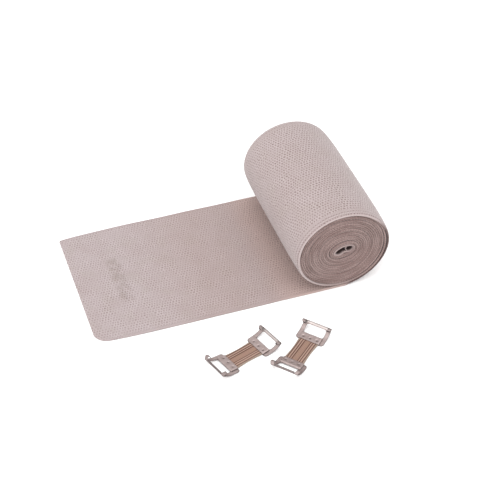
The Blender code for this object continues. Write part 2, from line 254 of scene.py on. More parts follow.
@dataclass(frozen=True)
class Signal:
    """A value inside a material, which plain arithmetic turns into further nodes."""

    tree: bpy.types.NodeTree
    socket: bpy.types.NodeSocket

    def apply(self, operation: str, *others: "Signal | float") -> "Signal":
        """Return this value put through a math node.

        Args:
            operation: Name of the node's operation.
            others: Its further inputs.

        Returns:
            The node's result.
        """
        node = self.tree.nodes.new("ShaderNodeMath")
        node.operation = operation
        self.tree.links.new(self.socket, node.inputs[0])
        for slot, other in zip(node.inputs[1:], others):
            if isinstance(other, Signal):
                self.tree.links.new(other.socket, slot)
            else:
                slot.default_value = other
        return Signal(self.tree, node.outputs[0])

    def __add__(self, other: "Signal | float") -> "Signal":
        """Add."""
        return self.apply("ADD", other)

    def __sub__(self, other: "Signal | float") -> "Signal":
        """Subtract."""
        return self.apply("SUBTRACT", other)

    def __mul__(self, other: "Signal | float") -> "Signal":
        """Multiply."""
        return self.apply("MULTIPLY", other)

    def size(self) -> "Signal":
        """Return this value without its sign."""
        return self.apply("ABSOLUTE")

    def wave(self, pitch: float) -> "Signal":
        """Return a cosine of this length with a pitch."""
        return (self * (2.0 * math.pi / pitch)).apply("COSINE")

    def lifted(self) -> "Signal":
        """Return a value between -1 and 1 moved to lie between 0 and 1."""
        return self * 0.5 + 0.5

    def rest(self) -> "Signal":
        """Return what a value between 0 and 1 lacks to 1."""
        return self * -1.0 + 1.0

    def on(self, ramp: Ramp) -> "Signal":
        """Return how high a ramp is at this value."""
        node = self.tree.nodes.new("ShaderNodeMapRange")
        node.interpolation_type = "SMOOTHSTEP"
        for key, value in (("From Min", ramp.low), ("From Max", ramp.high), ("To Max", ramp.top)):
            node.inputs[key].default_value = value
        self.tree.links.new(self.socket, node.inputs["Value"])
        return Signal(self.tree, node.outputs["Result"])


class Paint:
    """A Principled material under construction, with short ways to add its nodes."""

    def __init__(self, name: str) -> None:
        """Start a material of a name."""
        self.material = bpy.data.materials.new(name)
        self.material.use_nodes = True
        self.tree = self.material.node_tree
        self.shader = self.tree.nodes["Principled BSDF"]

    def fixed(self, values: dict[str, float]) -> None:
        """Set the shader's own sockets by their names."""
        for key, value in values.items():
            self.shader.inputs[key].default_value = value

    def own_map(self) -> bpy.types.NodeSocket:
        """Return the piece's own map as a vector."""
        node = self.tree.nodes.new("ShaderNodeUVMap")
        node.uv_map = WEAVE_UV
        return node.outputs["UV"]

    def place(self) -> tuple[Signal, Signal]:
        """Return the two pattern lengths of the piece's own map."""
        node = self.tree.nodes.new("ShaderNodeSeparateXYZ")
        self.tree.links.new(self.own_map(), node.inputs["Vector"])
        return Signal(self.tree, node.outputs["X"]), Signal(self.tree, node.outputs["Y"])

    def attribute(self, name: str) -> Signal:
        """Return a value stored on the piece's points."""
        node = self.tree.nodes.new("ShaderNodeAttribute")
        node.attribute_name = name
        return Signal(self.tree, node.outputs["Fac"])

    def noise(self, patches: Patches) -> Signal:
        """Return soft noise around one half, before its ramp.

        Args:
            patches: The noise.

        Returns:
            Its value.
        """
        if patches.mapped:
            vector = self.own_map()
        else:
            vector = self.tree.nodes.new("ShaderNodeTexCoord").outputs["Object"]
        scale = self.tree.nodes.new("ShaderNodeMapping")
        sizes = (1.0 / (patches.pitch * one) for one in patches.stretch)
        scale.inputs["Scale"].default_value = tuple(sizes)
        self.tree.links.new(vector, scale.inputs["Vector"])
        node = self.tree.nodes.new("ShaderNodeTexNoise")
        node.inputs["Scale"].default_value = 1.0
        node.inputs["Detail"].default_value = patches.layers
        self.tree.links.new(scale.outputs["Vector"], node.inputs["Vector"])
        return Signal(self.tree, node.outputs["Fac"])

    def patches(self, patches: Patches) -> Signal:
        """Return soft noise put through its ramp."""
        return self.noise(patches).on(patches.ramp)

    def mix(self, share: Signal, low: Tone, high: Tone) -> bpy.types.NodeSocket:
        """Return a colour between two.

        Args:
            share: 0 for the first colour, 1 for the second.
            low: The first colour, fixed or made before.
            high: The second colour, fixed or made before.

        Returns:
            The mixed colour.
        """
        node = self.tree.nodes.new("ShaderNodeMix")
        node.data_type = "RGBA"
        self.tree.links.new(share.socket, node.inputs["Factor"])
        sockets = [one for one in node.inputs if one.type == "RGBA"]
        for tone, slot in zip((low, high), sockets):
            if isinstance(tone, bpy.types.NodeSocket):
                self.tree.links.new(tone, slot)
            else:
                slot.default_value = (*tone, 1.0)
        return next(one for one in node.outputs if one.type == "RGBA")

    def colour(self, socket: bpy.types.NodeSocket) -> None:
        """Set the base colour."""
        self.tree.links.new(socket, self.shader.inputs["Base Color"])

    def roughness(self, value: Signal) -> None:
        """Set a roughness that varies."""
        self.tree.links.new(value.socket, self.shader.inputs["Roughness"])

    def relief(self, height: Signal, depth: float, strength: float) -> None:
        """Set the fine relief.

        Args:
            height: Height from 0 to 1.
            depth: Height of 1 as a length.
            strength: How strongly it shows.
        """
        node = self.tree.nodes.new("ShaderNodeBump")
        node.inputs["Distance"].default_value = depth
        node.inputs["Strength"].default_value = strength
        self.tree.links.new(height.socket, node.inputs["Height"])
        self.tree.links.new(node.outputs["Normal"], self.shader.inputs["Normal"])


@dataclass(frozen=True)
class WebSpot:
    """Where the cloth's points lie: lengths along and across the web, and shares from 0 to 1."""

    along: Signal
    across: Signal
    off_middle: Signal
    from_edge: Signal
    on_roll: Signal
    inside: Signal


@dataclass(frozen=True)
class WovenCloth:
    """The web's cloth: dimples between its crepe threads, rows along its edges, a soft mottle, and
    painted light and shade.
    """

    # Tones of its face, its dimples and its pucker, and its painted light: shade on and near the roll,
    # bounce light beside it, a highlight on the outer rim, shade on the end face and in the core
    thread: Colour = (0.462, 0.397, 0.4)
    mottle: Colour = (0.4, 0.327, 0.323)
    tan: Colour = (0.416, 0.366, 0.343)
    hollow: Colour = (0.146, 0.096, 0.092)
    # Painted shade: the roll's wraps darker and browner than the flat length
    roll_shade: Colour = (0.347, 0.266, 0.243)
    # Painted shade on the flat length, growing towards the roll
    tail_shade: Colour = (0.358, 0.262, 0.236)
    # Painted bounce light: lighter, warmer tone in the roll's shadow on the flat length
    bounce_light: Colour = (0.54, 0.394, 0.354)
    knotted: Colour = (0.293, 0.246, 0.223)
    # Painted highlight on the outer wrap's rim
    edge: Colour = (0.462, 0.385, 0.377)
    # Painted shade over the end face of the turns, browner partly from their cut edges, in darker patches
    end_face_shade: Colour = (0.316, 0.223, 0.206)
    end_face_shade_dark: Colour = (0.177, 0.112, 0.099)
    # Painted shade deep in the core and along the first rise's edges
    dark: Colour = (0.054, 0.025, 0.022)
    # Steps of the pattern, and where its first row lies in from the edge
    dimple_along: float = 1.77 * MM
    dimple_across: float = 4.0 * MM
    row: float = 2.0 * MM
    warp: float = 0.50 * MM
    weft: float = 0.59 * MM
    rim_row: float = 1.1 * MM
    # Noise that bends the pattern, how far it reaches, and the share of it that the rows take
    wobble: Patches = Patches(9.0 * MM)
    wobble_reach: float = 2.4 * MM
    jitter: Patches = Patches(2.2 * MM, 1.0)
    jitter_reach: float = 1.5 * MM
    row_wobble: float = 0.5
    row_jitter: float = 0.4
    cross_jitter: float = 0.7
    edge_jitter: float = 0.25
    # Noise of its strength and its tones
    fibres: Patches = Patches(0.35 * MM, 3.0, (4.0, 1.0, 1.0))
    uneven: Patches = Patches(8.0 * MM, ramp=Ramp(0.36, 0.62, 0.55))
    mottling: Patches = Patches(16.0 * MM, 3.0, mapped=False, ramp=Ramp(0.35, 0.75, 0.5))
    tanning: Patches = Patches(11.0 * MM, ramp=Ramp(0.45, 0.7, 0.4))
    banding: Patches = Patches(22.0 * MM, 1.0, (1.0, 0.3, 1.0), ramp=Ramp(0.42, 0.6, 0.65))
    ridging: Patches = Patches(3.4 * MM, 1.0, (1.0, 1.6, 1.0), ramp=Ramp(0.35, 0.65))
    # Zones along the web, from its free end
    roll_start: Ramp = Ramp(158.0 * MM, 170.0 * MM)
    covered: Ramp = Ramp(156.0 * MM, 162.0 * MM)
    # Where the painted shade and the painted bounce light lie along the flat length
    tail_shade_zone: Ramp = Ramp(30.0 * MM, 85.0 * MM, 0.42)
    bounce_light_zone: Ramp = Ramp(106.0 * MM, 128.0 * MM, 0.72)
    # Share of the painted shade on the roll
    roll_shade_share: float = 0.26
    # Zones in from its edges
    body_on_roll: Ramp = Ramp(3.0 * MM, 6.0 * MM)
    body_on_flat: Ramp = Ramp(1.2 * MM, 2.4 * MM)
    selvedge: Ramp = Ramp(0.3 * MM, 0.8 * MM)
    inner_rim: Ramp = Ramp(0.495 * MM, 0.9 * MM)
    # How strongly each part of the pattern counts
    dimple_share: float = 0.7
    row_share: float = 0.3
    edge_row_share: float = 0.3
    edge_dimple_share: float = 0.4
    edge_base: float = 0.7
    edge_on_roll: float = 0.7
    cut_share: float = 0.35
    thread_share: float = 0.16
    fibre_share: float = 0.3
    base_share: float = 0.2
    roll_share: float = 0.35
    tone_level: float = 0.33
    rim_fading: float = 0.5
    # Its relief
    relief_depth: float = 0.35 * MM
    relief_strength: float = 0.7
    dimple_relief: float = 0.6
    thread_relief: float = -0.12
    fibre_relief: float = 0.3
    ridge_relief: float = 1.6
    # The pucker across the web: its place, how it fades along and across, and its tones' shares
    pucker_place: float = 27.0 * MM
    pucker_along: Ramp = Ramp(1.8 * MM, 6.0 * MM)
    pucker_across: Ramp = Ramp(16.8 * MM, 24.0 * MM)
    pucker_share: float = 0.15
    ridge_share: float = 0.4

    def material(self, width: float) -> bpy.types.Material:
        """Build the cloth's material for a web of a width.

        The dimples darken its tone, more so in patches and on the roll. Its threads are a fine
        plain weave, the product of a cosine along the web and one across it.

        Args:
            width: Width of the web.

        Returns:
            The material.
        """
        paint = Paint("web_cloth")
        spot = self.spot(paint, width)
        dimples = self.dimples(paint, spot)
        threads = spot.along.wave(self.weft) * spot.across.wave(self.warp)
        fibres = paint.noise(self.fibres)
        strength = fibres * self.fibre_share + paint.patches(self.uneven) + self.base_share
        strength = strength + spot.on_roll * self.roll_share
        deep = (dimples - 0.5 + threads * self.thread_share) * strength + self.tone_level
        rim = spot.from_edge.on(self.inner_rim).rest()
        # Painted highlight along the outer wrap's rim on the roll, where the dimples fade as well
        rim_highlight = rim * spot.inside.rest() * spot.on_roll
        pucker = self.pucker(spot)
        ridges = paint.patches(self.ridging) * pucker
        tone = paint.mix(rim_highlight, self.face_tone(paint, spot), self.edge)
        # Painted shade over the end face of the turns, browner partly from their cut edges, in darker
        # patches
        cut = paint.mix(paint.patches(self.banding), self.end_face_shade, self.end_face_shade_dark)
        tone = paint.mix(rim * spot.inside, tone, cut)
        tone = paint.mix(pucker * self.pucker_share + ridges * self.ridge_share, tone, self.knotted)
        tone = paint.mix(deep * (rim_highlight * -self.rim_fading + 1.0), tone, self.hollow)
        # Painted shade deep in the core and along the first rise's edges
        paint.colour(paint.mix(paint.attribute(PAINTED_SHADE_MARK), tone, self.dark))
        height = dimples.rest() * self.dimple_relief + threads * self.thread_relief
        height = height + fibres * self.fibre_relief + ridges * self.ridge_relief
        paint.relief(height, self.relief_depth, self.relief_strength)
        paint.fixed({"Roughness": 0.88, "Specular IOR Level": 0.2})
        paint.fixed({"Sheen Weight": 0.25, "Sheen Roughness": 0.5})
        return paint.material

    def spot(self, paint: Paint, width: float) -> WebSpot:
        """Find where the cloth's points lie.

        Args:
            paint: The material.
            width: Width of the web.

        Returns:
            The place of each point.
        """
        along, across = paint.place()
        off_middle = (across - 0.5 * width).size()
        from_edge = off_middle * -1.0 + 0.5 * width
        on_roll = along.on(self.roll_start)
        return WebSpot(along, across, off_middle, from_edge, on_roll, paint.attribute(INNER_MARK))

    def dimples(self, paint: Paint, spot: WebSpot) -> Signal:
        """Lay out the dimples between the crepe threads.

        They lie in rows, each shifted by half a step: the cosine along the web times the cosine
        across it, plus the cosine of the rows. Near the edges the rows follow the edge, and the
        cut edges of the inner turns keep a trace of them. Noise bends them all.

        Args:
            paint: The material.
            spot: The place of each point.

        Returns:
            1 in a dimple, 0 on the threads between.
        """
        wobble = (paint.noise(self.wobble) - 0.5) * self.wobble_reach
        jitter = (paint.noise(self.jitter) - 0.5) * self.jitter_reach
        beads = (spot.along + wobble + jitter).wave(self.dimple_along)
        rows = (spot.across + wobble * self.row_wobble + jitter * self.row_jitter).wave(self.row)
        edge_rows = (spot.from_edge + jitter * self.edge_jitter - self.rim_row).wave(self.row)
        crossed = (spot.across + jitter * self.cross_jitter).wave(self.dimple_across)
        inner = beads * crossed * self.dimple_share + rows * self.row_share
        outer = edge_rows * self.edge_row_share + edge_rows * beads * self.edge_dimple_share
        outer = outer * (spot.on_roll * self.edge_on_roll + self.edge_base)
        wide = spot.from_edge.on(self.body_on_roll)
        narrow = spot.from_edge.on(self.body_on_flat)
        body = wide * spot.on_roll + narrow * spot.on_roll.rest()
        inward = spot.from_edge.on(self.selvedge)
        cut = beads * spot.inside * (inward * -self.cut_share + self.cut_share)
        return (inner * body + outer * body.rest() * inward + cut).lifted()

    def face_tone(self, paint: Paint, spot: WebSpot) -> bpy.types.NodeSocket:
        """Mix the tone of the cloth's face: mottled, with painted shade on the roll and on the flat
        length towards it, and painted bounce light in the roll's shadow.

        Args:
            paint: The material.
            spot: The place of each point.

        Returns:
            The tone.
        """
        tone = paint.mix(paint.patches(self.mottling), self.thread, self.mottle)
        tone = paint.mix(paint.patches(self.tanning), tone, self.tan)
        # Painted shade: the roll's wraps darker and browner
        tone = paint.mix(spot.on_roll * self.roll_shade_share, tone, self.roll_shade)
        bare = spot.along.on(self.covered).rest()
        # Painted shade on the flat length, growing towards the roll
        tone = paint.mix(spot.along.on(self.tail_shade_zone) * bare, tone, self.tail_shade)
        # Painted bounce light: lighter, warmer tone in the roll's shadow beside it
        return paint.mix(spot.along.on(self.bounce_light_zone) * bare, tone, self.bounce_light)

    def pucker(self, spot: WebSpot) -> Signal:
        """Return the share of a soft pucker that crosses the web near its free end."""
        off = (spot.along - self.pucker_place).size()
        return off.on(self.pucker_along).rest() * spot.off_middle.on(self.pucker_across).rest()


@dataclass(frozen=True)
class StampedSteel:
    """The clips' plates: satin sheet steel, with a painted highlight along the right plates' bars and
    painted shade at edges, dents, lip and claws.
    """

    # Painted highlight along the right plates' bars
    painted_highlight: Colour = (0.757, 0.739, 0.712)
    plain: Colour = (0.397, 0.323, 0.31)
    dull: Colour = (0.332, 0.263, 0.25)
    # Painted shade, at edges, dents, the lip's outer side and the claws
    painted_shade: Colour = (0.092, 0.077, 0.077)
    scratches: Patches = Patches(0.18 * MM, 3.0, (1.0, 9.0, 1.0))
    blotches: Patches = Patches(2.2 * MM, 3.0, mapped=False, ramp=Ramp(0.4, 0.7))
    blotch_relief: float = 0.5
    highlit: Ramp = Ramp(0.5, 1.0)
    unshaded: Ramp = Ramp(0.0, 0.5)
    polish: float = 0.30
    scratch_roughness: float = 0.22
    relief_depth: float = 0.03 * MM
    relief_strength: float = 0.5

    def material(self) -> bpy.types.Material:
        """Build the steel's material."""
        paint = Paint("clip_metal")
        scratches = paint.noise(self.scratches)
        blotches = paint.noise(self.blotches)
        # Painted light: below a half painted shade, above it a painted highlight
        painted_light = paint.attribute(PAINTED_LIGHT_MARK)
        tone = paint.mix(blotches.on(self.blotches.ramp), self.plain, self.dull)
        tone = paint.mix(painted_light.on(self.highlit), tone, self.painted_highlight)
        paint.colour(paint.mix(painted_light.on(self.unshaded).rest(), tone, self.painted_shade))
        paint.roughness(scratches * self.scratch_roughness + self.polish)
        paint.relief(scratches + blotches * self.blotch_relief, self.relief_depth, self.relief_strength)
        paint.fixed({"Metallic": 0.85})
        return paint.material


@dataclass(frozen=True)
class RibbedElastic:
    """The clips' elastic: brown rubber cords covered with thread, and a flat band between them."""

    thread: Colour = (0.262, 0.154, 0.115)
    groove: Colour = (0.092, 0.042, 0.029)
    light: Colour = (0.362, 0.243, 0.193)
    yellow: Colour = (0.277, 0.223, 0.115)
    border: Colour = (0.242, 0.183, 0.143)
    stitch: float = 0.75 * MM
    stripe: float = 0.9 * MM
    stripe_share: float = 0.3
    fibres: Patches = Patches(0.22 * MM, 3.0, (5.0, 1.0, 1.0), ramp=Ramp(0.2, 0.6))
    specks: Patches = Patches(0.9 * MM, 1.0, ramp=Ramp(0.58, 0.72, 0.6))
    groove_line: Ramp = Ramp(0.02, 0.085)
    band_fading: float = 0.04
    crest_light: float = 0.9
    band_light: float = 0.2
    border_rise: float = 0.05
    border_share: float = 0.8
    relief_depth: float = 0.12 * MM
    relief_strength: float = 0.7

    def material(self, grooves: tuple[float, ...], half_width: float) -> bpy.types.Material:
        """Build the elastic's material.

        The cords lie outside the first groove, each lighter along its crest, and the last is
        greyer. Fine stripes and a few yellow specks mark the flat band inside it.

        Args:
            grooves: Places of the grooves, as shares of the half width on one side.
            half_width: Half the strip's width.

        Returns:
            The material.
        """
        paint = Paint("clip_elastic")
        along, across = paint.place()
        side = across.size() * (1.0 / half_width)
        dark = across * 0.0
        for share in grooves:
            dark = dark.apply("MAXIMUM", (side - share).size().on(self.groove_line).rest())
        flat = side.on(Ramp(grooves[0] - self.band_fading, grooves[0])).rest()
        outside = side.on(Ramp(grooves[-1], grooves[-1] + self.border_rise, self.border_share))
        stripes = across.wave(self.stripe).lifted() * flat * self.stripe_share
        fibres = paint.noise(self.fibres)
        lit = flat * (self.band_light - self.crest_light) + self.crest_light
        tone = paint.mix(lit * fibres.on(self.fibres.ramp), self.thread, self.light)
        tone = paint.mix(paint.patches(self.specks) * flat, tone, self.yellow)
        tone = paint.mix(outside, tone, self.border)
        tone = paint.mix(stripes, tone, self.groove)
        paint.colour(paint.mix(dark, tone, self.groove))
        stitches = along.wave(self.stitch).lifted()
        paint.relief(stitches * 0.5 + fibres * 0.5, self.relief_depth, self.relief_strength)
        paint.fixed({"Roughness": 0.8, "Sheen Weight": 0.15, "Specular IOR Level": 0.25})
        return paint.material


@dataclass(frozen=True)
class PaleFloor:
    """The plain pale surface that everything lies on."""

    tone: Colour = (0.96, 0.96, 0.96)
    shade: Colour = (0.9504, 0.9504, 0.9504)
    clouds: Patches = Patches(0.4, mapped=False)

    def material(self) -> bpy.types.Material:
        """Build the floor's material."""
        paint = Paint("pale_floor")
        paint.colour(paint.mix(paint.noise(self.clouds), self.tone, self.shade))
        paint.fixed({"Roughness": 0.9, "Specular IOR Level": 0.1})
        return paint.material


@dataclass
class Web:
    """The band: a flat length, the wound turns above its end, and the fold inside the core."""

    # Turns, the gap between two, and where the flat length leaves the ground
    turns: float = 19.25
    gap: float = 0.3 * MM
    lift_off: float = 3.0 * MM
    # The free end
    near_corner: float = 8.0 * MM
    far_corner: float = 1.2 * MM
    draw_in: float = 1.6 * MM
    draw_length: float = 40.0 * MM
    # The core: its hollow, its dent, and how it is spread, shifted and tilted
    core_half_width: float = 5.6 * MM
    core_half_height: float = 4.0 * MM
    core_dent: float = 1.8 * MM
    core_dent_turns: float = 1.6
    core_dent_hump: Span = (0.0, 40.0)
    core_spread: Span = (1.2 * MM, -0.6 * MM)
    core_shift: Span = (1.2 * MM, -0.6 * MM)
    core_spread_turns: float = 6.0
    core_tilt: float = 12.0
    core_tilt_turns: float = 4.0
    ring_turn: float = 3.1
    ring_fade: float = 0.35
    ring_gap: float = 0.45 * MM
    # The loosened last wraps: the humps' middles and spreads are angles round the roll
    loose_step: float = 0.9 * MM
    loose_hump: Span = (72.0, 70.0)
    slack: tuple[LooseWrap, ...] = (
        LooseWrap(0.6, 0.25 * MM),
        LooseWrap(1.6, 0.5 * MM),
        LooseWrap(2.6, 0.3 * MM),
    )
    slack_hump: Span = (68.0, 88.0)
    slack_turns: float = 11.0
    # The roll's barrel shape: scales across and up, and the shoulder at its ends
    barrel_length: float = 7.0 * MM
    barrel_middle: Span = (1.027, 1.008)
    barrel_end: Span = (0.988, 0.992)
    shoulder: float = 0.8 * MM
    shoulder_length: float = 1.6 * MM
    # How far the edges of the turns stand in
    recess: float = 0.9 * MM
    recess_play: float = 0.35 * MM
    stand_back: float = 0.9 * MM
    stand_back_turns: float = 0.36
    # The wall: its rounding, its low bead along each edge, and the play between two turns
    rounding: float = 0.5 * MM
    bead: float = 0.10 * MM
    bead_place: float = 0.7 * MM
    bead_spread: float = 0.55 * MM
    swelling: float = 0.14 * MM
    play: float = 0.05 * MM
    # Turns over which the lifted wall, the barrel shape, the recess and the swelling set in
    lift_turns: Span = (0.0, 0.06)
    barrel_turns: Span = (0.0, 0.12)
    recess_turns: Span = (1.15, 1.45)
    swelling_turns: Span = (1.1, 1.4)
    # The soft ripple of the flat length, calm again close to the roll
    ripple: float = 0.22 * MM
    ripple_start: float = 12.0 * MM
    ripple_along: float = 13.0 * MM
    ripple_across: float = 21.0 * MM
    ripple_sway: float = 1.7
    calm: Span = (45.0 * MM, 8.0 * MM)
    # The marks of painted shade on the inner turns, the first rise and the core, and of a painted
    # highlight on the innermost edge, by turns and by turns left
    inner_turns: Span = (0.8, 1.15)
    # Painted highlight on the innermost turn's edge, round the core
    inner_highlight: float = 0.45
    light_left: Span = (0.9, 1.3)
    shade_start: Span = (-0.02, 0.03)
    shade_stop: Span = (0.28, 0.38)
    # Painted shade along the first rise's edges
    rise_shade: float = 0.65
    rise_shade_edge: Span = (0.4 * MM, 0.8 * MM)
    core_left: Span = (0.6, 1.0)
    core_edge: Span = (0.3 * MM, 2.0 * MM)
    # The band's thin inner end
    inner_thin: float = 0.55
    thin_turns: float = 0.4
    inner_end: tuple[FoldPoint, ...] = (
        FoldPoint(0.97, 0.45),
        FoldPoint(0.80, 0.85),
        FoldPoint(0.52, 1.0),
        FoldPoint(0.27, 0.80),
        FoldPoint(0.15, 0.35),
        FoldPoint(0.16, -0.10),
        FoldPoint(0.24, -0.38),
    )
    # The grid
    steps_per_turn: int = 50
    fold_steps: int = 5
    flat_step: float = 2.4 * MM
    corner_rows: int = 12
    cut_rows: tuple[float, ...] = (0.06, 0.2, 0.45)
    rim_columns: tuple[float, ...] = (0.0, 0.06, 0.2, 0.45, 0.8, 1.25, 2.0, 3.2, 5.0, 8.0)
    middle_columns: int = 8
    least_step: float = 0.03 * MM
    finish: WovenCloth = field(default_factory=WovenCloth)
    # Measures taken from the solids, and the length of the finished path
    width: float = field(init=False)
    wall: float = field(init=False)
    tail: float = field(init=False)
    length: float = field(init=False)

    def __post_init__(self) -> None:
        """Take the width, wall and free length from the solid flat length."""
        low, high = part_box("web_flat_length")
        self.width = high[1] - low[1]
        self.wall = high[2] - low[2]
        self.tail = -low[0]

    @property
    def pitch(self) -> float:
        """Distance from one turn to the next."""
        return self.wall + self.gap

    @property
    def axis_height(self) -> float:
        """Height of the roll's axis."""
        return self.core_half_height + self.pitch * self.turns

    def slack_inwards(self, turn: np.ndarray) -> np.ndarray:
        """Work out how far each turn stands in where the last wraps hang loose.

        The gaps that have opened so far are added up, times a hump round the roll, and the sum
        fades in a straight line until the turn by which it is taken up.

        Args:
            turn: Turns counted from the surface.

        Returns:
            Distances towards the axis.
        """
        opened = sum(np.where(turn > wrap.turn, wrap.gap, 0.0) for wrap in self.slack)
        fade = np.clip(1.0 - (turn - 1.0) / self.slack_turns, 0.0, 1.0)
        return opened * np.where(turn > 1.0, fade, 1.0) * hump(360.0 * turn, *self.slack_hump)

    def winding(self, turn: np.ndarray) -> np.ndarray:
        """Give the outer face of the wound turns.

        A turn's half width and half height are those of the core plus one pitch for each turn
        left, so x is half width times the sine of the angle and z half height times its cosine.

        Args:
            turn: Turns counted from the surface.

        Returns:
            Rows of x and z.
        """
        left = self.turns - turn
        degrees = 360.0 * turn
        loose = self.loose_step * hump(degrees, *self.loose_hump) * np.exp(-turn)
        dent = self.core_dent * hump(degrees, *self.core_dent_hump) * np.exp(-left / self.core_dent_turns)
        ring = self.ring_gap * smooth_step(-left, -self.ring_turn, self.ring_fade - self.ring_turn)
        growth = self.pitch * left + loose - dent - ring - self.slack_inwards(turn)
        wide, high = (share * np.exp(-left / self.core_spread_turns) for share in self.core_spread)
        x = (self.core_half_width + wide + growth) * np.sin(np.radians(degrees))
        z = -(self.core_half_height + high + growth) * np.cos(np.radians(degrees))
        return self.tilted(x, z, left)

    def tilted(self, x: np.ndarray, z: np.ndarray, left: np.ndarray) -> np.ndarray:
        """Turn points about the axis by the core's tilt and shift them, both fading outwards.

        Args:
            x: X of each point.
            z: Height of each point above the axis.
            left: Turns left to the core.

        Returns:
            Rows of x and z.
        """
        tilt = np.radians(self.core_tilt) * np.exp(-left / self.core_tilt_turns)
        aside, up = (share * np.exp(-left / self.core_spread_turns) for share in self.core_shift)
        turned_x = x * np.cos(tilt) - z * np.sin(tilt) + aside
        turned_z = x * np.sin(tilt) + z * np.cos(tilt) + up
        return np.column_stack((turned_x, turned_z + self.axis_height))

    def fold(self, wound: np.ndarray) -> np.ndarray:
        """Curl the band's end down across the hollow, by cubics through its points and their slopes.

        Args:
            wound: The wound turns' rows of x and z.

        Returns:
            Rows of x and z.
        """
        reach = np.array((self.core_half_width, self.core_half_height)) + self.core_spread - self.ring_gap
        chosen = reach * np.array(self.inner_end)
        chosen = self.tilted(chosen[:, 0], chosen[:, 1], np.zeros(len(chosen)))
        points = np.array([wound[-2], wound[-1], *chosen, 2 * chosen[-1] - chosen[-2]])[:, None, :]
        before, start, end, after = points[:-3], points[1:-2], points[2:-1], points[3:]
        t = (np.arange(1, self.fold_steps + 1) / self.fold_steps)[None, :, None]
        curve = (
            2 * start
            + (end - before) * t
            + (2 * before - 5 * start + 4 * end - after) * t**2
            + (3 * start - before - 3 * end + after) * t**3
        )
        return 0.5 * curve.reshape(-1, 2)

    def flat_rows(self) -> np.ndarray:
        """Give the distances from the free end at which the flat length has rows."""
        corner = self.near_corner * (1.0 - np.cos(np.linspace(0.0, 0.5 * math.pi, self.corner_rows)))
        stop = self.tail + self.lift_off
        even = np.arange(self.near_corner, stop - 0.5 * self.flat_step, self.flat_step)
        rows = np.unique(np.concatenate((corner, np.array(self.cut_rows) * MM, even[1:], (stop,))))
        return rows[np.concatenate(((True,), np.diff(rows) > self.least_step))]

    def path(self) -> tuple[np.ndarray, np.ndarray]:
        """Lay out the band's underside from its free end to its inner end.

        Returns:
            Rows of x and z, and the turn that each lies in, below 0 on the flat length.
        """
        distance = self.flat_rows()
        flat = np.column_stack((distance - self.tail, np.zeros(len(distance))))
        turn = np.arange(2, int(self.turns * self.steps_per_turn) + 1) / self.steps_per_turn
        wound = self.winding(turn)
        fold = self.fold(wound)
        turns = np.concatenate((np.full(len(flat), -1.0), turn, np.full(len(fold), self.turns)))
        return np.concatenate((flat, wound, fold)), turns

    def edges(self, distance: np.ndarray, turns: np.ndarray) -> tuple[np.ndarray, np.ndarray]:
        """Find the band's two edges along its length.

        The free end is drawn in by a parabola and has rounded corners. Where the first wrap
        rises it stands back by half a sine wave, and from the second wrap on the edges stand back
        by the recess, with a slow play of two sine waves in and out from turn to turn.

        Args:
            distance: Distances from the free end.
            turns: The turn that each row lies in.

        Returns:
            The near and the far edge in Y.
        """
        drawn = self.draw_in * np.clip(1.0 - distance / self.draw_length, 0.0, 1.0) ** 2
        back = self.stand_back * np.sin(math.pi * np.clip(turns / self.stand_back_turns, 0.0, 1.0)) ** 2
        insets = []
        for side, radius in ((-1.0, self.near_corner), (1.0, self.far_corner)):
            short = np.clip(radius - distance, 0.0, radius)
            corner = radius - np.sqrt(radius**2 - short**2)
            play = np.sin(2.7 * turns + 1.3 * side) + 0.6 * np.sin(7.9 * turns + 0.7 + side)
            sunk = smooth_step(turns, *self.recess_turns) * (self.recess + 0.5 * self.recess_play * play)
            insets.append(drawn + corner + sunk)
        return -0.5 * self.width + insets[0] + back, 0.5 * self.width - insets[1] + back

    def columns(self, near: np.ndarray, far: np.ndarray) -> tuple[np.ndarray, np.ndarray]:
        """Place the grid's columns between the two edges.

        Close to each edge they keep their distance from it, and between these they share the rest.

        Args:
            near: The near edge in Y.
            far: The far edge in Y.

        Returns:
            Y of each row and column, and each point's distance from the nearer edge.
        """
        near, far = near[:, None], far[:, None]
        rim = np.array(self.rim_columns) * MM
        shares = np.arange(1, self.middle_columns + 1) / (self.middle_columns + 1)
        middle = near + rim[-1] + (far - near - 2.0 * rim[-1]) * shares
        y = np.concatenate((near + rim, middle, far - rim[::-1]), axis=1)
        return y, np.minimum(y - near, far - y)

    def barrel(self, places: tuple[np.ndarray, ...], rolled: np.ndarray) -> tuple[np.ndarray, np.ndarray]:
        """Give the roll its barrel shape: each section is scaled about the line that it rests on.

        The scale falls from the middle's to the end's by an exponential of the distance from the
        roll's end. Close to the end a shoulder draws every turn in towards the axis by a parabola.

        Args:
            places: X, Y and height of each point.
            rolled: 1 on the roll, 0 on the flat length.

        Returns:
            The new X and height.
        """
        x, y, z = places
        depth = np.clip(0.5 * self.width - np.abs(y), 0.0, None)
        ends = np.exp(-depth / self.barrel_length)
        scale_x, scale_z = (
            middle + (end - middle) * ends for middle, end in zip(self.barrel_middle, self.barrel_end)
        )
        x = x * (1.0 + (scale_x - 1.0) * rolled)
        z = z * (1.0 + (scale_z - 1.0) * rolled)
        drop = self.shoulder * np.clip(1.0 - depth / self.shoulder_length, 0.0, 1.0) ** 2 * rolled
        shrink = 1.0 - drop / self.axis_height
        return x * shrink, self.axis_height + (z - self.axis_height) * shrink

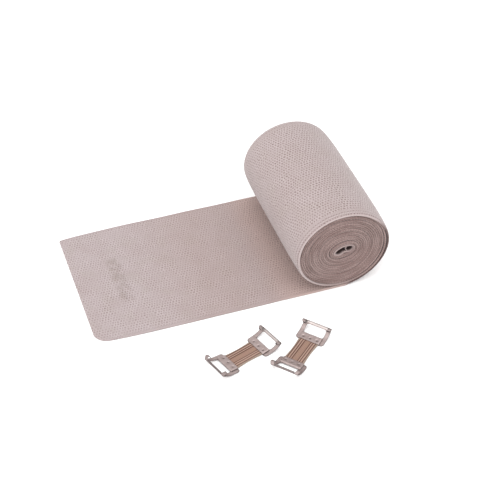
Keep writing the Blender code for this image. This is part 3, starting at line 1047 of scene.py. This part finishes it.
    def room(self, route: np.ndarray, turns: np.ndarray, inwards: np.ndarray) -> np.ndarray:
        """Find the half wall that each row has room for above the turn inside it.

        It is half the step from the row's place to the same place one turn further in, measured
        towards the axis, less a little play. Rows without a turn inside them have no limit.

        Args:
            route: Rows of x and z.
            turns: The turn that each row lies in.
            inwards: Each row's direction towards the axis.

        Returns:
            The greatest half wall of each row.
        """
        room = np.full(len(route), np.inf)
        followed = np.flatnonzero((turns > 0.0) & (turns + 1.0 <= self.turns))
        step = route[followed + self.steps_per_turn] - route[followed]
        room[followed] = 0.5 * (np.sum(step * inwards[followed], axis=1) - self.play)
        return room

    def half_wall(self, turns: np.ndarray, from_edge: np.ndarray) -> np.ndarray:
        """Work out half the wall, before its edges are rounded.

        A bell-shaped bead runs along each edge, the wound turns are a little swollen, and the
        last part of the inner end is thin.

        Args:
            turns: The turn that each row lies in.
            from_edge: Each point's distance from the nearer edge.

        Returns:
            Half the wall at each point.
        """
        bead = self.bead * np.exp(-(((from_edge - self.bead_place) / self.bead_spread) ** 2))
        swollen = 0.5 * self.swelling * smooth_step(turns, *self.swelling_turns)[:, None]
        thinner = smooth_step(turns, self.turns - self.thin_turns, self.turns)[:, None]
        return (0.5 * self.wall + bead + swollen) * (1.0 - self.inner_thin * thinner)

    def rippled(self, distance: np.ndarray, y: np.ndarray, turns: np.ndarray) -> np.ndarray:
        """Work out the soft ripple of the flat length, a squared sine along it that sways across it.

        Args:
            distance: Distances from the free end.
            y: Y of each point.
            turns: The turn that each row lies in.

        Returns:
            Heights.
        """
        swell = self.ripple * smooth_step(distance, 0.0, self.ripple_start) * (turns < 0.0)
        swell = swell * (1.0 - smooth_step(distance, *(self.tail - one for one in self.calm)))
        sway = self.ripple_sway * np.sin(y / self.ripple_across)
        return swell[:, None] * np.sin(distance[:, None] / self.ripple_along + sway) ** 2

    def marks(self, turns: np.ndarray, from_edge: np.ndarray) -> dict[str, np.ndarray]:
        """Mark the inner turns, whose edges take the end face's painted shade, and the painted shade deep
        in the core.

        The first rise takes painted shade as well, darker still along its edges.

        Args:
            turns: The turn that each row lies in.
            from_edge: Each point's distance from the nearer edge.

        Returns:
            The marks of each point.
        """
        left = self.turns - turns
        # Painted highlight on the innermost turn's edge, round the core
        strand_highlight = self.inner_highlight * (1.0 - smooth_step(left, *self.light_left))
        inside = smooth_step(turns, *self.inner_turns) * (1.0 - strand_highlight)
        # Painted shade on the first rise, darker still along its edges
        shaded = smooth_step(turns, *self.shade_start) * (1.0 - smooth_step(turns, *self.shade_stop))
        # Painted shade deep in the core
        deep = (1.0 - smooth_step(left, *self.core_left))[:, None]
        core = deep * smooth_step(from_edge, *self.core_edge)
        rise_shaded = self.rise_shade * shaded[:, None] * (1.0 - smooth_step(from_edge, *self.rise_shade_edge))
        inner = np.broadcast_to(np.maximum(inside, shaded)[:, None], from_edge.shape)
        return {INNER_MARK: inner, PAINTED_SHADE_MARK: np.maximum(core, rise_shaded)}

    def surface(self) -> Surface:
        """Work out the whole band as one closed sheet, marked for the painted shade of the inner turns,
        the first rise and the core.
        """
        route, turns = self.path()
        distance = run_along(route)
        self.length = float(distance[-1])
        near, far = self.edges(distance, turns)
        y, from_edge = self.columns(near, far)
        tangent = np.gradient(route, axis=0)
        tangent /= np.linalg.norm(tangent, axis=1, keepdims=True)
        inwards = np.column_stack((-tangent[:, 1], tangent[:, 0]))
        full = np.minimum(self.half_wall(turns, from_edge), self.room(route, turns, inwards)[:, None])
        from_end = np.minimum(distance, distance[-1] - distance)[:, None]
        half = full * rounded_edge(from_edge, self.rounding) * rounded_edge(from_end, self.rounding)
        wound = smooth_step(turns, *self.lift_turns)[:, None]
        lift = half + (full - half) * wound + self.rippled(distance, y, turns)
        x = route[:, :1] + inwards[:, :1] * lift
        z = route[:, 1:] + inwards[:, 1:] * lift
        x, z = self.barrel((x, y, z), smooth_step(turns, *self.barrel_turns)[:, None])
        shares = (y - near[:, None]) / (far - near)[:, None]
        across = np.where(turns[:, None] > 0.0, self.width * shares, y + 0.5 * self.width)
        places = np.stack((np.broadcast_to(distance[:, None], y.shape), across), axis=-1)
        return closed_sheet(np.stack((x, y, z), axis=-1), half, places, self.marks(turns, from_edge))

    def build(self) -> bpy.types.Object:
        """Make the band, dress it and put it in the place of its two solids."""
        piece = make_piece("woven_web", self.surface(), self.finish.material(self.width))
        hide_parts("web_flat_length", "web_wound_turns")
        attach(piece, "root")
        return piece


@dataclass(frozen=True)
class PlatePlace:
    """How a stamped plate is curled, tilted, turned to its end of the clip and laid down."""

    end: ClipEnd
    bend: float
    tilt: float
    run: float
    x: float
    y: float
    angle: float

    def laid(self, points: np.ndarray) -> np.ndarray:
        """Move points from the clip's own place, its middle at the origin, to where it lies."""
        turn = math.radians(self.angle)
        x = points[..., 0] * math.cos(turn) - points[..., 1] * math.sin(turn) + self.x
        y = points[..., 0] * math.sin(turn) + points[..., 1] * math.cos(turn) + self.y
        return np.stack((x, y, points[..., 2]), axis=-1)

    def placed(self, points: np.ndarray) -> np.ndarray:
        """Tilt a plate's points at the elastic's end, turn them to their end, and lay them down.

        Args:
            points: Points with the plate's inner edge at X = 0.

        Returns:
            The points on the surface.
        """
        tilt = math.radians(self.tilt)
        x = points[..., 0] * math.cos(tilt) - points[..., 2] * math.sin(tilt) + 0.5 * self.run
        z = points[..., 0] * math.sin(tilt) + points[..., 2] * math.cos(tilt)
        side = self.end.value
        return self.laid(np.stack((x * side, points[..., 1] * side, z), axis=-1))


@dataclass
class ClipPlate:
    """One stamped plate: a frame with a window, a tongue over the elastic, a lip and two claws."""

    name: str
    place: PlatePlace
    # The frame
    width: float = 18.2 * MM
    depth: float = 13.4 * MM
    sheet: float = 0.42 * MM
    inner_radius: float = 1.8 * MM
    outer_radius: float = 0.7 * MM
    bar: float = 1.9 * MM
    arm: float = 2.6 * MM
    window_radius: float = 1.5 * MM
    edge_rounding: float = 0.16 * MM
    # The tongue, pressed down at its sides, and its dents
    crimp_depth: float = 5.2 * MM
    crimp_side: float = 2.3 * MM
    crimp_height: float = 1.35 * MM
    side_press: float = 0.45 * MM
    side_press_width: float = 1.3 * MM
    dent_pitch: float = 4.4 * MM
    dent_depth: float = 0.5 * MM
    dent_radius: float = 0.6 * MM
    dent_place: float = 0.42
    # The lip and the claws, which start from a foot inside the bar
    foot: float = 0.2 * MM
    lip_height: float = 1.45 * MM
    claw_width: float = 2.7 * MM
    claw_stem: float = 1.3 * MM
    claw_radius: float = 1.35 * MM
    claw_turn: float = 150.0
    claw_tip: float = 0.6
    tip_start: float = 1.3
    claw_bulge: float = 0.8 * MM
    # Painted light: 0 is painted shade, 0.5 plain and 1 a painted highlight
    plain_light: float = 0.5
    edge_shade: float = 0.2
    bar_highlight: float = 0.72
    bar_highlight_start: float = 0.4 * MM
    dent_shade: float = 0.45
    lip_shade: float = 0.15
    claw_shade: float = 0.3
    tip_shade: float = 0.05
    # Rows and columns of the strips
    tongue_columns: int = 72
    lip_columns: int = 30
    claw_columns: int = 9
    stem_rows: int = 6

    @property
    def crimp_half_width(self) -> float:
        """Half the width of the tongue."""
        return 0.5 * self.width - self.crimp_side

    def curled(self, points: np.ndarray) -> np.ndarray:
        """Curl a plate's points up between its crimp and its bar.

        The sheet's middle becomes an arc over the window's length, and each point keeps its
        distance from it: x is (radius - height) times the sine, z the rest of the radius.

        Args:
            points: Points of the flat plate.

        Returns:
            Points of the curled plate.
        """
        start = self.crimp_depth
        run = self.depth - self.bar - start
        radius = run / math.radians(self.place.bend)
        past = points[..., 0] - start
        angle = np.clip(past, 0.0, run) / radius
        straight = np.clip(past - run, 0.0, None)
        height = points[..., 2] - 0.5 * self.sheet
        x = start + (radius - height) * np.sin(angle) + straight * np.cos(angle)
        z = 0.5 * self.sheet + radius - (radius - height) * np.cos(angle) + straight * np.sin(angle)
        bent = np.stack((x, points[..., 1], z), axis=-1)
        return np.where((past > 0.0)[..., None], bent, points)

    def outline(self, low: float, high: float, half: float, radii: Span) -> np.ndarray:
        """Trace a rectangle with rounded corners, with as many points on each side and corner.

        Args:
            low: Lowest X.
            high: Highest X.
            half: Half its width in Y.
            radii: Corner radius at the low and the high end.

        Returns:
            A loop of x and y.
        """
        corners = (
            (high - radii[1], half - radii[1], radii[1], 0.0),
            (low + radii[0], half - radii[0], radii[0], 90.0),
            (low + radii[0], radii[0] - half, radii[0], 180.0),
            (high - radii[1], radii[1] - half, radii[1], 270.0),
        )
        arcs = []
        for x, y, radius, start in corners:
            angles = np.radians(start + np.linspace(0.0, 90.0, 9))
            arcs.append(np.column_stack((x + radius * np.cos(angles), y + radius * np.sin(angles))))
        loop = []
        for arc, following in zip(arcs, arcs[1:] + arcs[:1]):
            loop += [arc, np.linspace(arc[-1], following[0], 14)[1:-1]]
        return np.concatenate(loop)

    def frame_ring(self) -> Surface:
        """Make the frame: its section runs from the outer outline to the window and back beneath."""
        outer = self.outline(0.0, self.depth, 0.5 * self.width, (self.inner_radius, self.outer_radius))
        ends = (self.crimp_depth, self.depth - self.bar)
        window = self.outline(*ends, 0.5 * self.width - self.arm, (self.window_radius,) * 2)
        gap = np.linalg.norm(window - outer, axis=1)[:, None]
        quarter = np.radians(np.linspace(90.0, 0.0, 4))
        inset = self.edge_rounding * (1.0 - np.sin(quarter)) * np.ones_like(gap)
        rise = 0.5 * self.sheet - self.edge_rounding * (1.0 - np.cos(quarter))
        shares = np.array((0.2, 0.4, 0.6, 0.8))
        across = np.concatenate((inset, gap * shares, gap - inset[:, ::-1]), axis=1)
        level = np.concatenate((rise, np.full(4, 0.5 * self.sheet), rise[::-1]))
        across = np.concatenate((across, across[:, ::-1]), axis=1)
        level = np.concatenate((level, -level[::-1])) + 0.5 * self.sheet
        xy = outer[:, None, :] + ((window - outer) / gap)[:, None, :] * across[..., None]
        points = np.concatenate((xy, np.broadcast_to(level, across.shape)[..., None]), axis=-1)
        # Painted highlight along the right plates' bars
        bar_highlight = self.bar_highlight if self.place.end is ClipEnd.RIGHT else self.plain_light
        on_bar = xy[..., 0] > self.depth - self.bar + self.bar_highlight_start
        highlit = np.where(on_bar, bar_highlight, self.plain_light)
        # Painted shade along the frame's edges
        inwards = np.minimum(across, gap - across) > 1.5 * self.edge_rounding
        return closed_ring(points, {PAINTED_LIGHT_MARK: np.where(inwards, highlit, self.edge_shade)})

    def strip(
        self, path: np.ndarray, sides: tuple[np.ndarray, np.ndarray], columns: int, hollow_light: float
    ) -> Surface:
        """Make a strip of the sheet along a path in X and Z, between two edges in Y.

        The columns lie closer to each other near its edges, by a share of cosine spacing.

        Args:
            path: Rows of x and z of the strip's middle.
            sides: Its lower and its upper edge in Y at each row.
            columns: Columns across it.
            hollow_light: Painted light of its hollow side, within the border.

        Returns:
            The closed strip, its hollow side and its border first.
        """
        low, high = (side[:, None] for side in sides)
        even = np.linspace(0.0, 1.0, columns)
        y = low + (high - low) * (0.125 * (1.0 - np.cos(math.pi * even)) + 0.75 * even)
        x = np.broadcast_to(path[:, :1], y.shape)
        z = np.broadcast_to(path[:, 1:], y.shape)
        along = run_along(path)
        from_end = np.minimum(along, along[-1] - along)[:, None]
        from_side = np.minimum(y - low, high - y)
        half = 0.5 * self.sheet * rounded_edge(from_side, self.edge_rounding)
        half = half * rounded_edge(from_end, self.edge_rounding)
        # Painted shade along the strip's edges
        edge = np.minimum(from_side, from_end) < 0.5 * self.edge_rounding
        painted_light = np.where(edge, self.edge_shade, self.plain_light)
        middle = np.stack((x, y, z), axis=-1)
        made = closed_sheet(middle, half, middle[..., :2], {PAINTED_LIGHT_MARK: painted_light})
        made.marks[PAINTED_LIGHT_MARK][: painted_light.size].reshape(painted_light.shape)[1:-1, 1:-1] = hollow_light
        return made

    def tongue(self) -> Surface:
        """Make the tongue: it rises at the window, folds back over the elastic and has three dents, with
        painted shade in them.
        """
        low = 0.5 * self.sheet
        high = self.crimp_height - 0.5 * self.sheet
        radius = 0.5 * (high - low)
        centre = self.crimp_depth - 0.5 * self.sheet - radius
        bend = np.radians(np.linspace(-90.0, 90.0, 15))
        arc = np.column_stack((centre + radius * np.cos(bend), low + radius + radius * np.sin(bend)))
        end = np.array((0.15, 0.05, 0.0)) * MM
        reach = np.concatenate((np.linspace(centre, 0.35 * MM, 20)[1:], end))
        top = np.column_stack((reach, np.full(len(reach), high)))
        path = np.concatenate((((centre - self.sheet, low),), arc, top))
        half = np.full(len(path), self.crimp_half_width)
        made = self.strip(path, (-half, half), self.tongue_columns, self.plain_light)
        points = made.points
        raised = points[:, 2] > 0.5 * self.crimp_height
        from_side = self.crimp_half_width - np.abs(points[:, 1])
        pressed = self.side_press * (1.0 - rounded_edge(from_side, self.side_press_width))
        points[:, 2] -= np.where(raised, pressed, 0.0)
        for shift in (-1.0, 0.0, 1.0):
            across = points[:, 1] - shift * self.dent_pitch
            away = np.hypot(points[:, 0] - self.dent_place * self.crimp_depth, across)
            sunk = np.where(raised, np.exp(-((away / self.dent_radius) ** 2)), 0.0)
            points[:, 2] -= self.dent_depth * sunk
            # Painted shade in the dents
            made.marks[PAINTED_LIGHT_MARK][:] -= self.dent_shade * sunk
        return made

    def lip(self) -> Surface:
        """Make the upright lip along the outer bar, with painted shade on its outer side."""
        x = self.depth - 0.5 * self.sheet
        end = self.lip_height - np.array((0.12, 0.04, 0.0)) * MM
        heights = np.concatenate((np.linspace(self.foot, self.lip_height - 0.3 * MM, 6), end))
        path = np.column_stack((np.full(len(heights), x), heights))
        half = np.full(len(path), 0.5 * self.width - self.claw_width)
        made = self.strip(path, (-half, half), self.lip_columns, self.plain_light)
        # Painted shade on the lip's outer side
        made.marks[PAINTED_LIGHT_MARK][len(path) * self.lip_columns :] = self.lip_shade
        return made

    def claw(self, side: float) -> Surface:
        """Make the claw at one end of the bar: a stem that bulges out and curls in to a narrow tip.

        It takes painted shade, above all on its hollow side and towards its tip.

        Args:
            side: -1 or 1 for the end in Y.

        Returns:
            The closed claw.
        """
        x = self.depth - 0.5 * self.sheet
        curl = np.radians(np.linspace(0.0, self.claw_turn, 18))[1:]
        rows = self.stem_rows
        stem = np.column_stack((np.full(rows, x), np.linspace(self.foot, self.claw_stem, rows)))
        arc_x = x - self.claw_radius + self.claw_radius * np.cos(curl)
        arc = np.column_stack((arc_x, self.claw_stem + self.claw_radius * np.sin(curl)))
        path = np.concatenate((stem, arc))
        taper = np.concatenate((np.ones(rows), np.linspace(1.0, self.claw_tip, len(arc))))
        out = self.claw_bulge * np.sin(math.pi * np.linspace(0.0, 1.0, len(path))) ** 2
        middle = side * (0.5 * self.width - 0.5 * self.claw_width + out)
        half = 0.5 * self.claw_width * taper
        # Painted shade on the claw's hollow side
        made = self.strip(path, (middle - half, middle + half), self.claw_columns, 0.0)
        painted_light = made.marks[PAINTED_LIGHT_MARK]
        # Painted shade over the claw, darkest towards its tip
        painted_light[:] = np.minimum(painted_light, self.claw_shade)
        painted_light[made.points[:, 0] < x - self.tip_start * self.claw_radius] = self.tip_shade
        return made

    def build(self, steel: bpy.types.Material) -> bpy.types.Object:
        """Make the plate of a steel and put it in the place of its solid."""
        whole = joined([self.frame_ring(), self.tongue(), self.lip(), self.claw(-1.0), self.claw(1.0)])
        placed = whole._replace(points=self.place.placed(self.curled(whole.points)))
        piece = make_piece(self.name + "_steel", placed, steel)
        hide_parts(self.name)
        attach(piece, "root")
        return piece


@dataclass
class ClipElastic:
    """The strip of ribbed elastic between a clip's two plates."""

    name: str
    place: PlatePlace
    width: float = 12.8 * MM
    pressed: float = 0.44 * MM
    core: float = 0.5 * MM
    waist: float = 0.5 * MM
    grip: float = 3.2 * MM
    seat: float = 0.45 * MM
    sag: float = 0.12 * MM
    side_rounding: float = 0.35 * MM
    end_rounding: float = 0.2 * MM
    rows: int = 60
    columns: int = 91
    cords: tuple[Cord, ...] = (
        Cord(0.405, 0.105, 0.24 * MM),
        Cord(0.635, 0.125, 0.26 * MM),
        Cord(0.875, 0.12, 0.26 * MM),
    )
    band_rise: float = 0.10 * MM
    band_rounding: float = 0.08

    def grooves(self) -> tuple[float, ...]:
        """Give the grooves' places on one side as shares of the half width."""
        return tuple(cord.middle - cord.half_width for cord in self.cords)

    def rise(self, share: np.ndarray) -> np.ndarray:
        """Work out the ribs' height over the strip: half circles for the cords, a low flat band.

        Args:
            share: Place across the strip, from -1 to 1.

        Returns:
            Heights.
        """
        side = np.abs(share)
        inside = np.clip(self.grooves()[0] - side, 0.0, None)
        height = self.band_rise * rounded_edge(inside, self.band_rounding)
        for cord in self.cords:
            off = np.clip(np.abs(side - cord.middle) / cord.half_width, 0.0, 1.0)
            height = np.maximum(height, cord.rise * np.sqrt(1.0 - off**2))
        return height

    def line(self) -> tuple[np.ndarray, np.ndarray]:
        """Lay out the strip's middle: a parabola between the plates, and its ends inside them.

        Returns:
            Rows of x and z, and each row's share from -1 at one plate to 1 at the other.
        """
        tilt = math.radians(self.place.tilt)
        middle = self.seat + 0.5 * self.pressed
        end_x = 0.5 * self.place.run - middle * math.sin(tilt)
        end_z = middle * math.cos(tilt)
        share = np.linspace(-1.0, 1.0, self.rows)
        end = self.grip - np.array((0.25, 0.1, 0.03, 0.0)) * MM
        inside = np.concatenate((np.linspace(0.0, self.grip, 8)[1:-1], end))
        grip_x = end_x + inside * math.cos(tilt)
        grip_z = end_z + inside * math.sin(tilt)
        x = np.concatenate((-grip_x[::-1], end_x * share, grip_x))
        z = np.concatenate((grip_z[::-1], end_z - self.sag * (1.0 - share**2), grip_z))
        gripped = np.ones(len(inside))
        return np.column_stack((x, z)), np.concatenate((-gripped, share, gripped))

    def surface(self) -> Surface:
        """Work out the strip: it is narrower in its middle, and the plates grip it flat and thin."""
        line, share = self.line()
        full = (1.0 - share**10)[:, None]
        even = np.linspace(-1.0, 1.0, self.columns)
        across = 0.3 * np.sin(0.5 * math.pi * even) + 0.7 * even
        half_width = (0.5 * self.width - self.waist * (1.0 - share**2))[:, None]
        y = half_width * across
        half = 0.5 * (self.pressed + (self.core - self.pressed) * full) + full * self.rise(across)
        length = run_along(line)
        from_end = np.minimum(length, length[-1] - length)[:, None]
        half = half * rounded_edge(half_width - np.abs(y), self.side_rounding)
        half = half * rounded_edge(from_end, self.end_rounding)
        middle = np.stack(np.broadcast_arrays(line[:, :1], y, line[:, 1:]), axis=-1)
        places = np.stack(np.broadcast_arrays(length[:, None], y), axis=-1)
        return closed_sheet(self.place.laid(middle), half, places, {})

    def build(self, elastic: bpy.types.Material) -> bpy.types.Object:
        """Make the strip of an elastic and put it in the place of its solid."""
        piece = make_piece(self.name + "_strip", self.surface(), elastic)
        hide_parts(self.name)
        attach(piece, "root")
        return piece


@dataclass
class Clip:
    """A fastening clip: two stamped plates joined by a strip of elastic."""

    name: str
    x: float
    ahead: float
    angle: float
    bends: dict[ClipEnd, float]
    tilt: float = 7.0
    run: float = 18.2 * MM

    def place(self, end: ClipEnd, front: float) -> PlatePlace:
        """Say where one end of the clip lies, with the web's near edge at a Y."""
        y = front - self.ahead
        return PlatePlace(end, self.bends[end], self.tilt, self.run, self.x, y, self.angle)

    def build(
        self, front: float, steel: bpy.types.Material, elastic: RibbedElastic
    ) -> list[bpy.types.Object]:
        """Make the clip's three pieces.

        Args:
            front: Y of the web's near edge.
            steel: Material of its plates.
            elastic: Finish of its elastic.

        Returns:
            The pieces.
        """
        strip = ClipElastic(self.name + "_elastic", self.place(ClipEnd.RIGHT, front))
        made = [strip.build(elastic.material(strip.grooves(), 0.5 * strip.width))]
        for end in ClipEnd:
            plate = ClipPlate(f"{self.name}_{end.name.lower()}_plate", self.place(end, front))
            made.append(plate.build(steel))
        return made


@dataclass(frozen=True)
class SoftLight:
    """A square area light that faces a point."""

    name: str
    spot: Point
    size: float
    power: float
    tone: Colour = (1.0, 1.0, 1.0)

    def build(self, target: Vector) -> None:
        """Hang the light and turn it to a target."""
        lamp = bpy.data.lights.new(self.name, "AREA")
        lamp.shape = "SQUARE"
        lamp.size = self.size
        lamp.energy = self.power
        lamp.color = self.tone
        made = bpy.data.objects.new(self.name, lamp)
        made.location = self.spot
        made.rotation_euler = (target - made.location).to_track_quat("-Z", "Y").to_euler()
        bpy.context.scene.collection.objects.link(made)


@dataclass
class Studio:
    """The pale floor, the soft light and the camera at the photograph's angle."""

    floor_size: float = 8.0
    floor_drop: float = 0.05 * MM
    azimuth: float = -19.216
    elevation: float = 41.3
    distance: float = 851.4 * MM
    lens: float = 95.39
    sensor: float = 36.0
    aim: Point = (-41.4 * MM, -1.5 * MM, 0.0)
    sky: Colour = (1.0, 1.0, 1.0)
    sky_strength: float = 1.08
    lights: tuple[SoftLight, ...] = (
        SoftLight("key_light", (0.05, -0.45, 1.5), 1.8, 14.0),
        SoftLight("fill_light", (-1.2, -0.5, 0.7), 1.4, 8.0),
    )

    def build(self) -> None:
        """Lay the floor, hang the lights and set up the camera."""
        bpy.context.scene.view_settings.view_transform = "Standard"
        half = 0.5 * self.floor_size
        mesh = bpy.data.meshes.new("floor")
        corners = [(-half, -half), (half, -half), (half, half), (-half, half)]
        mesh.from_pydata([(x, y, -self.floor_drop) for x, y in corners], [], [(0, 1, 2, 3)])
        floor = bpy.data.objects.new("floor", mesh)
        mesh.materials.append(PaleFloor().material())
        bpy.context.scene.collection.objects.link(floor)
        world = bpy.data.worlds.new("studio")
        world.use_nodes = True
        background = world.node_tree.nodes["Background"]
        background.inputs["Color"].default_value = (*self.sky, 1.0)
        background.inputs["Strength"].default_value = self.sky_strength
        bpy.context.scene.world = world
        target = Vector(self.aim)
        for light in self.lights:
            light.build(target)
        self.camera(target)

    def camera(self, target: Vector) -> None:
        """Place the camera by its turn and height round the target, and look at it."""
        turn = math.radians(self.azimuth)
        rise = math.radians(self.elevation)
        back = Vector((math.sin(turn) * math.cos(rise), -math.cos(turn) * math.cos(rise), math.sin(rise)))
        data = bpy.data.cameras.new("camera")
        data.lens = self.lens
        data.sensor_width = self.sensor
        camera = bpy.data.objects.new("camera", data)
        camera.location = target + back * self.distance
        camera.rotation_euler = (-back).to_track_quat("-Z", "Y").to_euler()
        bpy.context.scene.collection.objects.link(camera)
        bpy.context.scene.camera = camera


def main() -> None:
    """Build the studio and every piece of the bandage, and report each."""
    logging.basicConfig(level=logging.INFO, format="%(name)s: %(message)s")
    Studio().build()
    web = Web()
    pieces = [web.build()]
    steel = StampedSteel().material()
    front = -0.5 * web.width
    clips = (
        Clip("clip_a", -76.4 * MM, 36.6 * MM, 18.8, {ClipEnd.LEFT: 26.0, ClipEnd.RIGHT: 32.0}),
        Clip("clip_b", -43.2 * MM, 44.6 * MM, 41.3, {ClipEnd.LEFT: 30.0, ClipEnd.RIGHT: 34.0}),
    )
    for clip in clips:
        pieces += clip.build(front, steel, RibbedElastic())
    for piece in pieces:
        LOG.info("%s: %d faces", piece.name, len(piece.data.polygons))


if __name__ == "__main__":
    main()
